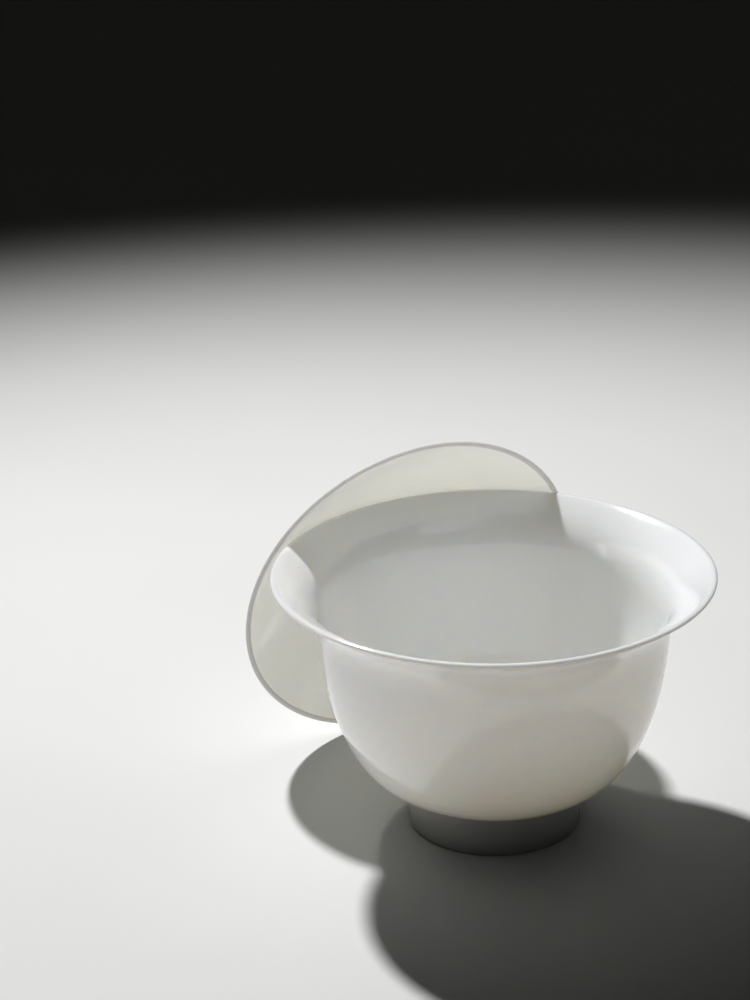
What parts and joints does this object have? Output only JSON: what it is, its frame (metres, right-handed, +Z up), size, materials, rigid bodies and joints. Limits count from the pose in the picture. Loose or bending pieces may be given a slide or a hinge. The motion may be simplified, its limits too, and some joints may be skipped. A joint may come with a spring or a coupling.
{
  "type": "gaiwan",
  "caption": "Thin porcelain lidded tea bowl: flared bowl on a ring foot, with its domed ring-knobbed lid standing on edge and leaning on the bowl's lip.",
  "frame": {"origin": "centre of the bowl's foot ring, on the table", "axes": "+Z up along the bowl's axis; +Y towards the lid that stands on its edge and leans on the bowl's lip; X across, with the whole object the same on both sides of X = 0"},
  "size_m": [0.1, 0.1209, 0.0812],
  "materials": {
    "bowl_glaze": "thin translucent white porcelain under a clear gloss glaze",
    "foot_glaze": "white porcelain under a clear gloss glaze, with the standing edge left bare",
    "lid_glaze": "thin translucent white porcelain under a clear gloss glaze, with the rim wiped bare",
    "knob_glaze": "white porcelain under a clear gloss glaze"
  },
  "bodies": {
    "bowl": {"bowl_body": "bowl_glaze", "foot_ring": "foot_glaze"},
    "lid": {"lid_dome": "lid_glaze", "lid_knob": "knob_glaze"}
  },
  "joints": [
    {"name": "lid_lift", "type": "slide", "parent": "bowl", "child": "lid", "axis": [0, 0, 1], "range_m": [0, 0.08]}
  ]
}
